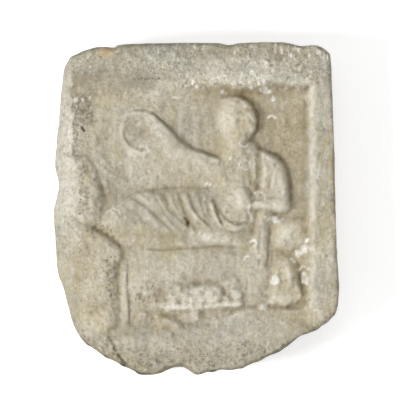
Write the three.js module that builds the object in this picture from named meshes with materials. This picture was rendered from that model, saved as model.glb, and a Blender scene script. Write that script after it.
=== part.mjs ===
// Broken marble slab carved in low relief: a banqueter on a couch with one arm raised, a seated figure
// at the left, a small table with food and an attendant at the right, in a sunk field with a border.
// Millimetres, +Z up. The carved face looks along -Y, the flat back lies at y = 0.
import * as THREE from "three";

// Slab
const THICKNESS = 65;
const RECESS = 15;
const FLOOR = THICKNESS - RECESS;
const BACK_SHARE = 0.985;
const STONE_COLOUR = 0xb9b3a6;
const STONE_ROUGHNESS = 0.85;

// Fineness of the surface, and how far weather has rounded it
const CELLS = 256;
const FACET_TOLERANCE = 0.48;
const CURVE_STEPS = 6;
const CURVE_TENSION = 0.5;
const WEAR_PASSES = 6;
const LINE_SHARE = 0.8;

// The four sides of the outline, as [x, z]
const BOTTOM_SIDE = [
  [-117, -130], [-94, -147], [-78, -155], [-62, -163], [-52, -166.5], [-38, -166], [-24, -160], [-14, -159],
  [-6, -163], [2, -167], [14, -163.5], [42, -161.5], [54, -157], [82, -144], [106, -128], [121, -122],
  [139, -108],
];
const RIGHT_SIDE = [
  [139, -108], [142, -95], [143, -77], [141, -48], [139.5, 0], [138, 68], [136, 118], [134.5, 150],
  [131, 157],
];
const TOP_SIDE = [
  [-128, 150], [-110, 158], [-98, 161], [-82, 160.5], [-74, 163.5], [-30, 165], [18, 165], [34, 163],
  [46, 165], [82, 166], [98, 164], [106, 162], [117, 163], [125, 161], [131, 157],
];
const LEFT_SIDE = [
  [-117, -130], [-124, -116], [-133, -82], [-139, -64], [-141.5, -32], [-143, -4], [-138, 22], [-142, 42],
  [-140, 66], [-137, 100], [-133, 138], [-128, 150],
];

// The left side is broken away in a slope, from this ridge down to the outline: crisp above its crest
// and rounded over some way past the ridge below it
const BREAK_RIDGE = [
  [-116, -130], [-120, -112], [-122, -78], [-122, -24], [-118, -8], [-118, 44], [-124, 54], [-124, 100],
  [-125, 150],
];
const BREAK_LEVEL = 27;
const BREAK_POWER = 0.8;
const BREAK_CREST = { from: 40, to: 52 };
const BREAK_ROUNDING = 11;

// Rim between the face and the outline: its width as a share of the slab, and the outline's level
const RIM = {
  left: { share: 0.05, level: BREAK_LEVEL },
  right: { share: 0.012, level: 60 },
  bottom: { share: 0.024, level: 50 },
  top: { share: 0.016, level: 57 },
};
const RIM_MIDDLE = 0.6;
const RIM_MIDDLE_FALL = 0.3;
const CORNER_ROUNDING = 0.04;

// Border round the sunk field: the places between which each edge climbs
const RIGHT_EDGE = { from: 105, to: 118 };
const LEFT_EDGE = { from: -104, to: -124 };
const LEFT_EDGE_FOOT = { from: 36, to: 66 };
const LEFT_EDGE_SHARE = 0.14;
const TOP_EDGE = { from: 114, to: 129 };
const WORN_TOP_LIP = { from: 108, to: 114 };
const WORN_TOP_EDGE = { from: 112, to: 154 };
const WORN_LIP_SHARE = 0.1;
const TOP_WEAR_END = { from: -25, to: 35 };
const LEDGE_LEVEL = -98;
const LEDGE_DROP = 14;
const LEDGE_FALL = { from: 70, to: -10 };
const LEDGE_WEAR = { from: 40, to: -10 };
const LEDGE_STEP = { share: 0.34, crisp: 4, worn: 20 };
const LEDGE_SLOPE = { share: 0.38, width: 32 };
const LEDGE_RISE = { share: 0.37, from: 52, to: 112 };

// Widths over which carved forms run into each other
const JOIN = { crisp: 1.5, soft: 2.5, cloth: 4 };

// Basic curves and blends

const { lerp, mapLinear } = THREE.MathUtils;
const clamp = (value) => THREE.MathUtils.clamp(value, 0, 1);
const smooth = (value) => THREE.MathUtils.smoothstep(value, 0, 1);
const climb = (value, { from, to }) => smooth((value - from) / (to - from));

// The larger of two heights, with the join between them filled over a width of blend
function merge(first, second, blend) {
  if (blend <= 0) return Math.max(first, second);
  const share = clamp(0.5 + (0.5 * (first - second)) / blend);
  return lerp(second, first, share) + blend * share * (1 - share);
}

// A value from evenly spaced ones, or the same value all along
function along(values, share) {
  if (!Array.isArray(values)) return values;
  const place = share * (values.length - 1);
  const index = Math.min(Math.floor(place), values.length - 2);
  return lerp(values[index], values[index + 1], place - index);
}

// x at a height z on a side whose points climb in z
function sideAt(points, z) {
  const next = points.findIndex((point) => point[1] >= z);
  if (next === 0) return points[0][0];
  if (next < 0) return points.at(-1)[0];
  const [a, b] = [points[next - 1], points[next]];
  return mapLinear(z, a[1], b[1], a[0], b[0]);
}

function curveOf(points, closed = false) {
  const corners = points.map(([x, z]) => new THREE.Vector3(x, 0, z));
  return new THREE.CatmullRomCurve3(corners, closed, "catmullrom", CURVE_TENSION);
}

// A smooth curve through points, as straight segments
function trace(points, closed = false) {
  const spans = closed ? points.length : points.length - 1;
  const corners = curveOf(points, closed).getPoints(spans * CURVE_STEPS);
  const segments = [];
  let total = 0;
  for (let i = 0; i + 1 < corners.length; i++) {
    const { x, z } = corners[i];
    const [dx, dz] = [corners[i + 1].x - x, corners[i + 1].z - z];
    const length = Math.hypot(dx, dz);
    segments.push({ x, z, dx, dz, length, start: total });
    total += length;
  }
  const box = new THREE.Box3().setFromPoints(corners);
  return { segments, total, box };
}

const isNear = ({ box }, x, z, reach) =>
  x > box.min.x - reach && x < box.max.x + reach && z > box.min.z - reach && z < box.max.z + reach;

// Distance to a traced curve, whether the point is on its left, and its share of the length there
function nearest(path, x, z) {
  let found = { distance: Infinity, left: false, share: 0 };
  for (const segment of path.segments) {
    const run = clamp(((x - segment.x) * segment.dx + (z - segment.z) * segment.dz) / segment.length ** 2);
    const [ex, ez] = [x - segment.x - run * segment.dx, z - segment.z - run * segment.dz];
    const distance = Math.hypot(ex, ez);
    if (distance >= found.distance) continue;
    const left = segment.dx * ez - segment.dz * ex > 0;
    found = { distance, left, share: (segment.start + run * segment.length) / path.total };
  }
  return found;
}

// Carved shapes: each returns a function that gives the height at x, z

const ROUND_EDGE = 0.6;
const STROKE_FADE = 0.18;
const STROKE_REACH = 3;

// A rounded bar along a curve, with its own width and edge steepness on each side
function limb(points, { left, right, height, edge: [leftEdge, rightEdge] }) {
  const path = trace(points);
  const reach = Math.max(...[left, right].flat());
  return (x, z) => {
    if (!isNear(path, x, z, reach)) return 0;
    const at = nearest(path, x, z);
    const ratio = at.distance / along(at.left ? left : right, at.share);
    return along(height, at.share) * clamp(1 - ratio ** 2) ** (at.left ? leftEdge : rightEdge);
  };
}

// An oval swelling, turned by an angle in degrees: its edge is one steepness, or two from left to right
function mound([centreX, centreZ], [radiusX, radiusZ], height, turn = 0, edge = ROUND_EDGE) {
  const angle = THREE.MathUtils.degToRad(turn);
  const [cos, sin] = [Math.cos(angle), Math.sin(angle)];
  return (x, z) => {
    const [dx, dz] = [x - centreX, z - centreZ];
    const ratio = ((dx * cos + dz * sin) / radiusX) ** 2 + ((dz * cos - dx * sin) / radiusZ) ** 2;
    return height * clamp(1 - ratio) ** along(edge, smooth(0.5 + (0.5 * dx) / radiusX));
  };
}

// A flat area inside a closed curve, with a rounded shoulder
function panel(points, height, shoulder) {
  const path = trace(points, true);
  return (x, z) => {
    if (!isNear(path, x, z, 0)) return 0;
    let inside = false;
    for (const { x: ax, z: az, dx, dz } of path.segments) {
      const crosses = az > z !== az + dz > z;
      if (crosses && x < ax + ((z - az) / dz) * dx) inside = !inside;
    }
    if (!inside) return 0;
    const share = clamp(nearest(path, x, z).distance / shoulder);
    return height * (1 - (1 - share) ** 2);
  };
}

// A soft line along a curve: a fold's crest, or its valley where the height is below zero
function stroke(points, width, height, fade = STROKE_FADE) {
  const path = trace(points);
  return (x, z) => {
    if (!isNear(path, x, z, STROKE_REACH * width)) return 0;
    const { distance, share } = nearest(path, x, z);
    const ends = fade ? smooth(share / fade) * smooth((1 - share) / fade) : 1;
    return height * ends * Math.exp(-((distance / width) ** 2));
  };
}

// Several shapes in one, joined softly where they are high enough
function joined(blend, ...shapes) {
  return (x, z) =>
    shapes.reduce((height, shape) => {
      const added = shape(x, z);
      return added > 0 ? merge(height, added, Math.min(blend, height, added)) : height;
    }, 0);
}

// Height of the border above the floor it surrounds
function border(x, z) {
  const right = climb(x, RIGHT_EDGE);
  const left = LEFT_EDGE_SHARE * climb(x, LEFT_EDGE) * climb(z, LEFT_EDGE_FOOT);
  const wornTop = lerp(climb(z, WORN_TOP_EDGE), climb(z, WORN_TOP_LIP), WORN_LIP_SHARE);
  const top = lerp(wornTop, climb(z, TOP_EDGE), climb(x, TOP_WEAR_END));
  const below = LEDGE_LEVEL - LEDGE_DROP * climb(x, LEDGE_FALL) - z;
  const stepWidth = lerp(LEDGE_STEP.crisp, LEDGE_STEP.worn, climb(x, LEDGE_WEAR));
  const step = LEDGE_STEP.share * smooth(below / stepWidth);
  const slope = LEDGE_SLOPE.share * smooth(below / LEDGE_SLOPE.width);
  const bottom = (step + slope) * (1 + LEDGE_RISE.share * climb(x, LEDGE_RISE));
  return RECESS * Math.max(right, top, bottom, left);
}

// Figures and furniture, as heights above the floor

const couch = joined(
  JOIN.crisp,
  panel([[-70, -40], [0, -41], [72, -39], [72, -70], [60, -88], [-60, -88], [-68, -70]], 3, 18),
  limb([[-72, -32], [-40, -33], [20, -31.5], [66, -31]], {
    left: [9, 11, 11, 10],
    right: [6, 8, 8.5, 8],
    height: [1.6, 2.2, 2.7, 2.4],
    edge: [0.9, 0.35],
  }),
  limb([[-71, -36], [-71, -118]], { left: 3.7, right: 3.7, height: [1.8, 3.2], edge: [0.4, 0.3] }),
);

const recliningBody = joined(
  JOIN.cloth,
  limb([[-78, -8], [-45, -6], [-5, -6], [40, -6]], {
    left: [18, 24, 25, 26],
    right: [20, 24, 26, 26],
    height: [6, 8.5, 9.5, 10],
    edge: [0.8, 0.8],
  }),
  mound([-42, 2], [26, 15], 9.5, -20, 1),
  limb([[44, 46], [39, 22], [40, -2]], {
    left: [24, 23, 23],
    right: [24, 28, 28],
    height: [11, 11.5, 10.5],
    edge: [0.5, 0.8],
  }),
  mound([38, 6], [24, 22], 12, 0, 0.45),
);

const WREATH_CENTRE = [-54.3, 75.8];
const WREATH_RADIUS = 20.2;
const WREATH_POINTS = 16;
const wreathRing = Array.from({ length: WREATH_POINTS + 1 }, (_, i) => {
  const angle = (i / WREATH_POINTS) * 2 * Math.PI;
  const [x, z] = WREATH_CENTRE;
  return [x + WREATH_RADIUS * Math.cos(angle), z + WREATH_RADIUS * Math.sin(angle)];
});
const raisedArm = joined(
  JOIN.crisp,
  limb([[36, 39], [25, 40], [14, 42], [1, 47], [-12, 54], [-32, 74.5], [-44, 87]], {
    left: [22, 23, 24, 22, 19, 16, 12],
    right: [12, 11, 10, 9.2, 8.8, 8.5, 8],
    height: [10, 10, 9.5, 9, 8.5, 8, 6.5],
    edge: [1.4, 0.38],
  }),
  stroke(wreathRing, 4.2, 3.7, 0),
  mound(WREATH_CENTRE, [23, 23], 2.2, 0, 0.5),
  mound([-37, 79], [13, 9], 7, -45, 0.7),
);

const leftArm = joined(
  JOIN.soft,
  panel(
    [
      [62, 58], [72, 57], [81, 52], [89, 43], [92, 28], [94.5, 9], [95, 1], [88, -6], [72, -4], [62, 8],
      [61, 34],
    ],
    10.5,
    7,
  ),
  limb([[88, 2], [76, 2.5], [58, 3]], {
    left: [6.5, 7, 6.5],
    right: [7, 9, 8],
    height: [11, 14, 13.5],
    edge: [0.45, 0.6],
  }),
  panel(
    [[38, 23], [48, 24.5], [53, 17], [57.5, 8], [59, 0], [52, -6], [43, -4], [37, 3.5], [35, 13]],
    14.5,
    6,
  ),
  mound([46, 6], [10, 12], 15.5, 25, 0.5),
  mound([61.5, 12], [8, 9], 10, 0, 0.7),
);

const head = joined(
  JOIN.soft,
  limb([[40, 76], [41, 64], [42, 50]], {
    left: [13, 12.5, 16],
    right: [20, 21, 23],
    height: [12, 12, 11],
    edge: [0.6, 1.1],
  }),
  mound([39.5, 88], [22, 24], 14, 0, [0.86, 0.36]),
  limb([[26, 105], [38, 107], [49, 103], [55.5, 94], [56, 83], [52, 73]], {
    left: [4, 5, 5, 5, 5, 4],
    right: [12, 16, 18, 16, 14, 9],
    height: [4, 9, 13, 14, 13, 8],
    edge: [0.4, 1.2],
  }),
);

const seatedFigure = joined(
  JOIN.crisp,
  panel(
    [
      [-150, 50], [-114, 54], [-106, 46], [-99, 35], [-94, 20], [-92.5, 8], [-93, -4], [-98, -16],
      [-150, -16],
    ],
    7,
    13,
  ),
  panel(
    [
      [-150, -10], [-112, -12], [-103, -18], [-88, -30.5], [-78, -40], [-75, -52], [-75.5, -84],
      [-75.5, -104], [-76, -117], [-84, -128], [-100, -134], [-150, -142],
    ],
    7.4,
    11,
  ),
  limb([[-116, -27], [-97, -37], [-84, -48]], {
    left: 11,
    right: 12,
    height: [7.5, 9.5, 9],
    edge: [0.45, 0.9],
  }),
  mound([-88, -112], [21, 21], 11.4, 0, 1),
);

const hangingCloth = limb([[66, -4], [65.5, -40], [64.5, -64], [63, -82]], {
  left: 13,
  right: 7.5,
  height: [8, 6.5, 4, 1.5],
  edge: [1.4, 0.45],
});

const LOAVES = [
  { centre: [-46, -82], radii: [8, 9], height: 4, edge: 0.8 },
  { centre: [-21, -88], radii: [9, 9.5], height: 6, edge: 0.7 },
  { centre: [-9, -87], radii: [9, 9.5], height: 7, edge: 0.7 },
  { centre: [-17, -79.5], radii: [4.5, 4.5], height: 7, edge: 0.45 },
  { centre: [4, -85], radii: [8, 8], height: 10, edge: 0.9 },
  { centre: [18, -86.5], radii: [8, 9], height: 10.6, edge: 0.9 },
  { centre: [31, -92], radii: [6, 4], height: 4, edge: 0.6 },
  { centre: [43, -86.5], radii: [6.5, 7], height: 6, edge: 0.5 },
];
const TABLE_FEET = [
  { centre: [-54, -106], radii: [6, 4.5], height: 2.5, edge: 0.6 },
  { centre: [-32, -114.5], radii: [12, 6], height: 4, edge: 0.6 },
  { centre: [-20, -117], radii: [9, 5], height: 4, edge: 0.6 },
];
const table = joined(
  JOIN.soft,
  limb([[-43, -97.5], [0, -97.8], [45, -96]], {
    left: 4.2,
    right: 4.4,
    height: [2, 5, 5.5, 5.5],
    edge: [0.8, 0.5],
  }),
  panel([[-5, -79], [4, -76], [14, -75.5], [24, -78], [27.5, -84], [27, -95], [10, -98], [-6, -96]], 8, 5),
  limb([[0, -98], [0, -106], [0.5, -112]], { left: 4.4, right: 4.4, height: [5.5, 5, 3], edge: [0.4, 0.4] }),
  ...[...LOAVES, ...TABLE_FEET].map((lump) => mound(lump.centre, lump.radii, lump.height, 0, lump.edge)),
);

const attendant = joined(
  JOIN.soft,
  panel([[78, -12], [92, -8.5], [110, -10], [115, -24], [112, -38], [98, -44], [80, -42], [75, -27]], 9, 9),
  panel(
    [
      [78, -58], [84, -50], [92, -48.5], [99, -54], [102, -64], [103, -72], [108, -84], [107, -92], [96, -97],
      [80, -97], [72, -90], [74, -72],
    ],
    7,
    8,
  ),
  mound([92, -64], [6, 11], 10.5, 6, 0.7),
  mound([78, -92], [5, 5.5], 8),
  mound([88.5, -91], [8.5, 7], 9.5),
  mound([67, -98.5], [5.5, 5], 6, 25, 0.7),
);

// A worn face, calm and full front, divided in equal thirds from the chin to the hair
const FACE_MIDDLE = 38.5;
const CHIN = 67.5;
const FACE_THIRD = 12;
const NOSE_BASE = CHIN + FACE_THIRD;
const BROW = NOSE_BASE + FACE_THIRD;
const MOUTH = NOSE_BASE - FACE_THIRD / 3;
const EYE_LINE = BROW - FACE_THIRD / 4;
const EYE_INNER = 2.6;
const EYE_OUTER = 8.6;
const MOUTH_HALF = 5;
const BROW_HALF = 8.5;
const FACE_FADE = 0.3;
const FACE_LINES = [
  stroke([[FACE_MIDDLE, BROW], [FACE_MIDDLE, NOSE_BASE]], 1.9, 2.1, FACE_FADE),
  stroke([[FACE_MIDDLE - BROW_HALF, BROW], [FACE_MIDDLE + BROW_HALF, BROW]], 1.7, 0.8, FACE_FADE),
  stroke([[FACE_MIDDLE - MOUTH_HALF, MOUTH], [FACE_MIDDLE + MOUTH_HALF, MOUTH]], 1.1, -1, FACE_FADE),
  ...[-1, 1].map((side) => {
    const ends = [EYE_INNER, EYE_OUTER].map((gap) => [FACE_MIDDLE + side * gap, EYE_LINE]);
    return stroke(ends, 2.1, -1.7, FACE_FADE);
  }),
];

// Folds and cut lines
const FOLD_VALLEYS = [
  stroke([[-72, -1], [-63, -4], [-56, -11], [-50, -18]], 2.6, -1.6),
  stroke([[-64, 10], [-54, 4], [-46, -2], [-38, -11], [-30, -18], [-20, -28]], 1.7, -2.4),
  stroke([[-60, 18], [-52, 12], [-46, 6]], 2.2, -1.4),
  stroke([[-47, 16], [-39, 7], [-30, -6], [-20, -18], [-10, -26]], 1.8, -1.5),
  stroke([[-36, 16], [-30, 9], [-26, 0], [-20, -8]], 2.2, -1.7),
  stroke([[-24, 2], [-16, -9], [-10, -17], [-5, -24]], 2, -2.2),
  stroke([[-19, 19], [-13, 6], [-10, -2], [-6, -11], [-2, -20], [3, -28]], 2.1, -3),
  stroke([[-9, 18], [-3, 7], [1, -3], [5, -10], [11, -16], [20, -27]], 1.7, -2.5),
  stroke([[4, 14], [7, 2], [10, -8], [16, -15]], 1.7, -1.7),
  stroke([[12, 16], [12.5, 4], [13.5, -6], [17, -13]], 1.5, -2),
  stroke([[16, 15], [18, 8], [20, 2], [23, -7], [28, -18], [36, -25]], 1.7, -3),
  stroke([[22, 2], [26, -4.5], [31, -10.5], [38, -14], [46, -15], [56, -13]], 1.8, -3.2),
];
const FOLD_CRESTS = [
  stroke([[-11, 14], [-5, 1], [1, -10], [10, -19], [22, -26]], 1.9, 1.2),
  stroke([[14, 8], [17, -3], [22, -13], [30, -20], [42, -20.5], [52, -17]], 2.4, 2.2),
  stroke([[-41, 13], [-34, 2], [-26, -10]], 2.2, 1),
  stroke([[-28, 14], [-20, 0], [-12, -13]], 2.2, 1.2),
  stroke([[-60, 2], [-48, -9], [-38, -20]], 3, 1.1),
];
const CUT_LINES = [
  stroke([[-67, 97], [-56, 98.5], [-38, 91.5], [-26, 80], [-6, 59.5], [4, 55.5], [27, 51]], 1.5, -1.9),
  stroke([[-71.5, 79], [-71, 71.5], [-68, 65.5], [-62.5, 61], [-55.5, 59], [-48, 60.5]], 1.7, -2.3),
  stroke([[36, 113], [47, 110.5], [55, 104], [60.5, 97], [62.5, 90], [61.5, 81], [54, 68]], 1.8, -1.8),
  stroke([[54, 67], [62, 60], [69, 56.5], [78, 54.5], [86, 50], [91, 41], [93.5, 28], [96, 2]], 1.8, -1.8),
  stroke([[60, 64], [65, 56], [65, 36], [64.5, 22]], 1.8, -2),
  stroke([[54, 52], [54.5, 36], [56, 22]], 1.8, -1.4),
  stroke([[68, 9.8], [78, 10], [90, 9]], 1.4, -2),
  stroke([[47, 27], [53.5, 18], [57.5, 9]], 1.3, -1.8),
  stroke([[74, -16], [74, -40], [72.5, -62]], 1.5, -2.4),
  stroke([[65, -12], [65, -30], [64, -62]], 1.4, -1.4),
  stroke([[-8, -76], [4, -73.5], [16, -73], [26, -76], [30, -83], [29.5, -93]], 2.2, -2),
  stroke([[86.5, -56], [85, -66], [86.5, -78]], 1.5, -1.4),
  stroke([[80, -46], [92, -46.5], [101, -51], [105, -60], [104.5, -68], [108, -82]], 1.6, -1.6),
  stroke([[-37, -105.5], [-24, -107], [-8, -105.5]], 3, -4),
  stroke([[4, -105], [13, -107], [22, -105]], 3, -4),
];
const LINES = [...FACE_LINES, ...FOLD_VALLEYS, ...FOLD_CRESTS, ...CUT_LINES];

const figures = joined(
  JOIN.crisp,
  couch,
  recliningBody,
  raisedArm,
  leftArm,
  head,
  seatedFigure,
  hangingCloth,
  table,
  attendant,
);
const carving = joined(JOIN.soft, border, figures);

// Distance of the carved forms from the back, before the lines are cut
function formHeight(x, z) {
  const [outer, ridge] = [sideAt(LEFT_SIDE, z), sideAt(BREAK_RIDGE, z)];
  const crisp = clamp((x - outer) / (ridge - outer)) ** BREAK_POWER;
  const rounded = 1 - (1 - clamp((x - outer) / (ridge + BREAK_ROUNDING - outer))) ** 2;
  const slope = lerp(rounded, crisp, climb(z, BREAK_CREST));
  return lerp(BREAK_LEVEL, FLOOR + carving(x, z), slope);
}

const sideCurves = [BOTTOM_SIDE, RIGHT_SIDE, TOP_SIDE, LEFT_SIDE].map((side) => curveOf(side));

// A place inside the outline, blended from its four sides: u runs to the right and v upwards
function slabPoint(u, v) {
  const [bottom, right, top, left] = sideCurves;
  const across = left.getPointAt(v).lerp(right.getPointAt(v), u);
  const upwards = bottom.getPointAt(u).lerp(top.getPointAt(u), v);
  const low = bottom.getPointAt(0).lerp(bottom.getPointAt(1), u);
  const high = top.getPointAt(0).lerp(top.getPointAt(1), u);
  return across.add(upwards).sub(low.lerp(high, v));
}

// The grid of points on the carved face, inside the rim
function facePoints() {
  const points = [];
  for (let row = 0; row <= CELLS; row++) {
    const v = lerp(RIM.bottom.share, 1 - RIM.top.share, row / CELLS);
    for (let column = 0; column <= CELLS; column++) {
      const u = lerp(RIM.left.share, 1 - RIM.right.share, column / CELLS);
      points.push(slabPoint(u, v));
    }
  }
  const forms = wear(points.map(({ x, z }) => formHeight(x, z)));
  points.forEach((point, i) => {
    const cut = LINES.reduce((sum, line) => sum + line(point.x, point.z), 0);
    point.setY(-forms[i] - LINE_SHARE * cut);
  });
  return points;
}

// Heights averaged with their neighbours, as weather rounds every edge
function wear(heights) {
  const side = CELLS + 1;
  const averaged = (values, step, place) =>
    values.map((value, i) => {
      const before = place(i) > 0 ? values[i - step] : value;
      const after = place(i) < CELLS ? values[i + step] : value;
      return (before + 2 * value + after) / 4;
    });
  let worn = heights;
  for (let pass = 0; pass < WEAR_PASSES; pass++) {
    worn = averaged(worn, 1, (i) => i % side);
    worn = averaged(worn, side, (i) => Math.floor(i / side));
  }
  return worn;
}

// Right triangles [a, b, apex] over the grid, halved across a and b until each lies close to the surface
function faceTriangles(points) {
  const last = points.length - 1;
  const halves = ([a, b, apex]) => {
    const middle = (a + b) / 2;
    return [[apex, a, middle], [b, apex, middle]];
  };
  const levels = [[[last, 0, CELLS], [0, last, last - CELLS]]];
  const depth = 2 * Math.log2(CELLS);
  while (levels.length < depth) levels.push(levels.at(-1).flatMap(halves));

  const error = new Float32Array(points.length);
  const centre = new THREE.Vector3();
  for (const level of [...levels].reverse()) {
    const isFinest = level === levels.at(-1);
    for (const [a, b, apex] of level) {
      const middle = (a + b) / 2;
      const own = centre.addVectors(points[a], points[b]).divideScalar(2).distanceTo(points[middle]);
      const finer = isFinest ? 0 : Math.max(error[(a + apex) / 2], error[(b + apex) / 2]);
      error[middle] = Math.max(error[middle], own, finer);
    }
  }

  const kept = [];
  const visit = (triangle, level) => {
    const isCoarse = level < depth && error[(triangle[0] + triangle[1]) / 2] > FACET_TOLERANCE;
    if (isCoarse) halves(triangle).forEach((half) => visit(half, level + 1));
    else kept.push(triangle);
  };
  levels[0].forEach((triangle) => visit(triangle, 0));
  return kept;
}

// The grid's border, once round from its first corner
function borderIndices() {
  const side = CELLS + 1;
  const steps = Array.from({ length: CELLS }, (_, i) => i);
  return [
    ...steps,
    ...steps.map((i) => CELLS + i * side),
    ...steps.map((i) => side * side - 1 - i),
    ...steps.map((i) => (CELLS - i) * side),
  ];
}

// The outline's point beside a place on the grid's border, at the level of the nearest sides
function outlinePoint(index) {
  const u = (index % (CELLS + 1)) / CELLS;
  const v = Math.floor(index / (CELLS + 1)) / CELLS;
  const sides = [
    [u, RIM.left.level],
    [1 - u, RIM.right.level],
    [v, RIM.bottom.level],
    [1 - v, RIM.top.level],
  ].map(([gap, level]) => ({ weight: 1 / (gap + CORNER_ROUNDING) ** 2, level }));
  const total = sides.reduce((sum, { weight }) => sum + weight, 0);
  const level = sides.reduce((sum, { weight, level: own }) => sum + weight * own, 0) / total;
  return slabPoint(u, v).setY(-level);
}

function slabGeometry() {
  const points = facePoints();
  const triangles = faceTriangles(points);
  const used = new Set(triangles.flat());
  let ring = borderIndices().filter((i) => used.has(i));
  const outline = ring.map(outlinePoint);
  const middle = ring.map((i, place) => {
    const point = points[i].clone().lerp(outline[place], RIM_MIDDLE);
    return point.setY(lerp(points[i].y, outline[place].y, RIM_MIDDLE_FALL));
  });
  const back = outline.map((point) => point.clone().setY(0).multiplyScalar(BACK_SHARE));

  for (const row of [middle, outline, back]) {
    const next = row.map((point) => points.push(point) - 1);
    ring.forEach((here, i) => {
      const j = (i + 1) % ring.length;
      triangles.push([here, next[i], ring[j]], [ring[j], next[i], next[j]]);
    });
    ring = next;
  }
  const backOutline = back.map(({ x, z }) => new THREE.Vector2(x, z));
  for (const [a, b, c] of THREE.ShapeUtils.triangulateShape(backOutline, [])) {
    triangles.push([ring[a], ring[c], ring[b]]);
  }
  const geometry = new THREE.BufferGeometry().setFromPoints(triangles.flat().map((i) => points[i]));
  geometry.computeVertexNormals();
  return geometry;
}

const marble = new THREE.MeshStandardMaterial({ color: STONE_COLOUR, roughness: STONE_ROUGHNESS });
const plaque = new THREE.Mesh(slabGeometry(), marble);
plaque.name = "relief_plaque";

const part = new THREE.Group();
part.add(plaque);

export default part;
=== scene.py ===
"""Marble relief plaque: the weathered face, sides and back of the slab, in its stone."""

import math
from functools import reduce

import bpy
import numpy as np
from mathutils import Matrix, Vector, noise


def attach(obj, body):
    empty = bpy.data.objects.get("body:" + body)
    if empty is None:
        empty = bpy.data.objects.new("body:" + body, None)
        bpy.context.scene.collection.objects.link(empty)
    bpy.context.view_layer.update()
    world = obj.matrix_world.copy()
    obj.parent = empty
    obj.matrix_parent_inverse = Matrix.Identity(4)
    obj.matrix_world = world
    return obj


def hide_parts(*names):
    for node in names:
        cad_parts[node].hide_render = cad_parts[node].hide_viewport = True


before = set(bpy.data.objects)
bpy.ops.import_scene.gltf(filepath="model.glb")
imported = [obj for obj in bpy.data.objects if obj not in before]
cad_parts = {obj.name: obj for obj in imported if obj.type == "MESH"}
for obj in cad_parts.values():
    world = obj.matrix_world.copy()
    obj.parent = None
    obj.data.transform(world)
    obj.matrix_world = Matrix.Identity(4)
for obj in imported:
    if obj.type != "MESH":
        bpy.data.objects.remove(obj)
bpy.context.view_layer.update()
scene = bpy.context.scene

MM = 0.001

# Slab, in millimetres: x to the right, z up, heights measured from the flat back
THICKNESS = 65.0
RECESS = 15.0
FLOOR = THICKNESS - RECESS

# Fineness of the mesh: cells over the face, rows down the sides, rings over the back
COLUMNS = 256
ROWS = 300
SIDE_ROWS = 9
BACK_RINGS = (0.985, 0.95, 0.88, 0.76, 0.6, 0.42, 0.22)

# The four sides of the outline
BOTTOM_SIDE = [
    (-117, -130), (-94, -147), (-78, -155), (-62, -163), (-52, -166.5), (-38, -166), (-24, -160),
    (-14, -159), (-6, -163), (2, -167), (14, -163.5), (42, -161.5), (54, -157), (82, -144), (106, -128),
    (121, -122), (139, -108),
]
RIGHT_SIDE = [
    (139, -108), (142, -95), (143, -77), (141, -48), (139.5, 0), (138, 68), (136, 118), (134.5, 150),
    (131, 157),
]
TOP_SIDE = [
    (-128, 150), (-110, 158), (-98, 161), (-82, 160.5), (-74, 163.5), (-30, 165), (18, 165), (34, 163),
    (46, 165), (82, 166), (98, 164), (106, 162), (117, 163), (125, 161), (131, 157),
]
LEFT_SIDE = [
    (-117, -130), (-124, -116), (-133, -82), (-139, -64), (-141.5, -32), (-143, -4), (-138, 22),
    (-142, 42), (-140, 66), (-137, 100), (-133, 138), (-128, 150),
]

# The left side is broken away in a slope, from this ridge down to the outline
BREAK_RIDGE = [
    (-116, -130), (-120, -112), (-122, -78), (-122, -24), (-118, -8), (-118, 44), (-124, 54), (-124, 100),
    (-125, 150),
]
BREAK_LEVEL = 27.0
BREAK_POWER = 0.8


# Curves and blends
LEAST_BLEND = 1e-6


def spline(points, closed=False, per_span=6):
    """Points on the smooth curve through the given ones."""
    given = np.array(points, float)
    if closed:
        padded = np.vstack([given[-1], given, given[:2]])
    else:
        padded = np.vstack([2 * given[0] - given[1], given, 2 * given[-1] - given[-2]])
    t = (np.arange(per_span) / per_span)[:, None]
    spans = []
    for a, b, c, d in zip(padded, padded[1:], padded[2:], padded[3:]):
        cubic = (3 * b - a - 3 * c + d) * t**3
        square = (2 * a - 5 * b + 4 * c - d) * t**2
        spans.append(0.5 * (2 * b + (c - a) * t + square + cubic))
    spans.append(padded[-2][None])
    return np.vstack(spans)


def spaced(points, count):
    """Evenly spaced points along the curve through the given ones."""
    curve = spline(points, per_span=20)
    run = np.concatenate([[0], np.cumsum(np.hypot(*np.diff(curve, axis=0).T))])
    at = np.linspace(0, run[-1], count)
    return np.stack([np.interp(at, run, curve[:, axis]) for axis in (0, 1)], 1)


def smooth(value):
    """A soft step from nothing at zero to one at one."""
    value = np.clip(value, 0, 1)
    return value * value * (3 - 2 * value)


def rise(value, start, run):
    """A soft step from a start over a run."""
    return smooth((value - start) / run)


def fall(value, start, run):
    """The same step for falling values."""
    return smooth((start - value) / run)


def merge(first, second, blend):
    """The larger of two heights, with the join filled softly where both are high enough."""
    blend = np.maximum(np.minimum(blend, np.minimum(first, second)), LEAST_BLEND)
    share = np.clip(0.5 + 0.5 * (first - second) / blend, 0, 1)
    return second + (first - second) * share + blend * share * (1 - share)


def joined(blend, *heights):
    """All heights merged in turn."""
    return reduce(lambda first, second: merge(first, second, blend), heights)


# Carved shapes: each gives a height at every point of the face
STROKE_REACH = 3


def oval(x, z, centre, radii, turn):
    """Nothing in the middle of an oval turned by degrees, one along its edge and more outside."""
    c, s = math.cos(math.radians(turn)), math.sin(math.radians(turn))
    dx, dz = x - centre[0], z - centre[1]
    return ((dx * c + dz * s) / radii[0]) ** 2 + ((dz * c - dx * s) / radii[1]) ** 2


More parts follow.
